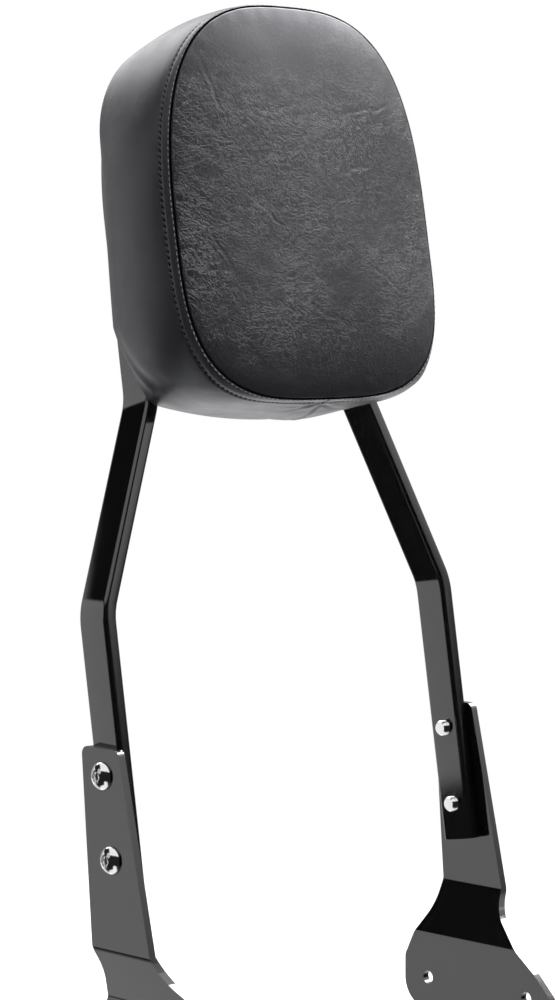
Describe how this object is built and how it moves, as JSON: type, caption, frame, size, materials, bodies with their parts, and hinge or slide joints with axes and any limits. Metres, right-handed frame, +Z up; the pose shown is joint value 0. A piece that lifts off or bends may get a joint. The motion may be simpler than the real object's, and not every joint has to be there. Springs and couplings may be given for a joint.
{
  "type": "sissy bar",
  "caption": "Bent flat-bar passenger backrest hoop on two joggled side plates, with a stitched, upholstered oval pad.",
  "frame": {"origin": "midway between the two feet, at the height and the fore-and-aft middle of their strut bolt holes", "axes": "+Z up, +Y to the rear, the pad faces -Y, +X to the seated passenger's left; the bar leans 9.2 degrees to the rear"},
  "size_m": [0.3252, 0.1891, 0.6597],
  "materials": {
    "gloss_black": "gloss black powder coat on mild steel",
    "chrome": "polished chrome plate on button-head screws",
    "vinyl": "grained black upholstery vinyl, semi-matt, black thread",
    "foam": "moulded polyurethane foam, not seen",
    "tray_plastic": "moulded black polypropylene with a fine grain",
    "zinc_steel": "bright zinc plate"
  },
  "bodies": {
    "root": {"hoop": "gloss_black", "upper_strap": "gloss_black", "lower_strap": "gloss_black", "right_side_plate": "gloss_black", "left_side_plate": "gloss_black", "right_upper_side_screw": "chrome", "right_lower_side_screw": "chrome", "left_upper_side_screw": "chrome", "left_lower_side_screw": "chrome", "base_tray": "tray_plastic", "foam_core": "foam", "boxing_band": "vinyl", "front_panel": "vinyl", "upper_right_tee_nut": "zinc_steel", "upper_left_tee_nut": "zinc_steel", "lower_right_tee_nut": "zinc_steel", "lower_left_tee_nut": "zinc_steel", "upper_right_pad_screw": "zinc_steel", "upper_left_pad_screw": "zinc_steel", "lower_right_pad_screw": "zinc_steel", "lower_left_pad_screw": "zinc_steel", "upper_right_washer": "zinc_steel", "upper_left_washer": "zinc_steel", "lower_right_washer": "zinc_steel", "lower_left_washer": "zinc_steel"}
  },
  "joints": []
}
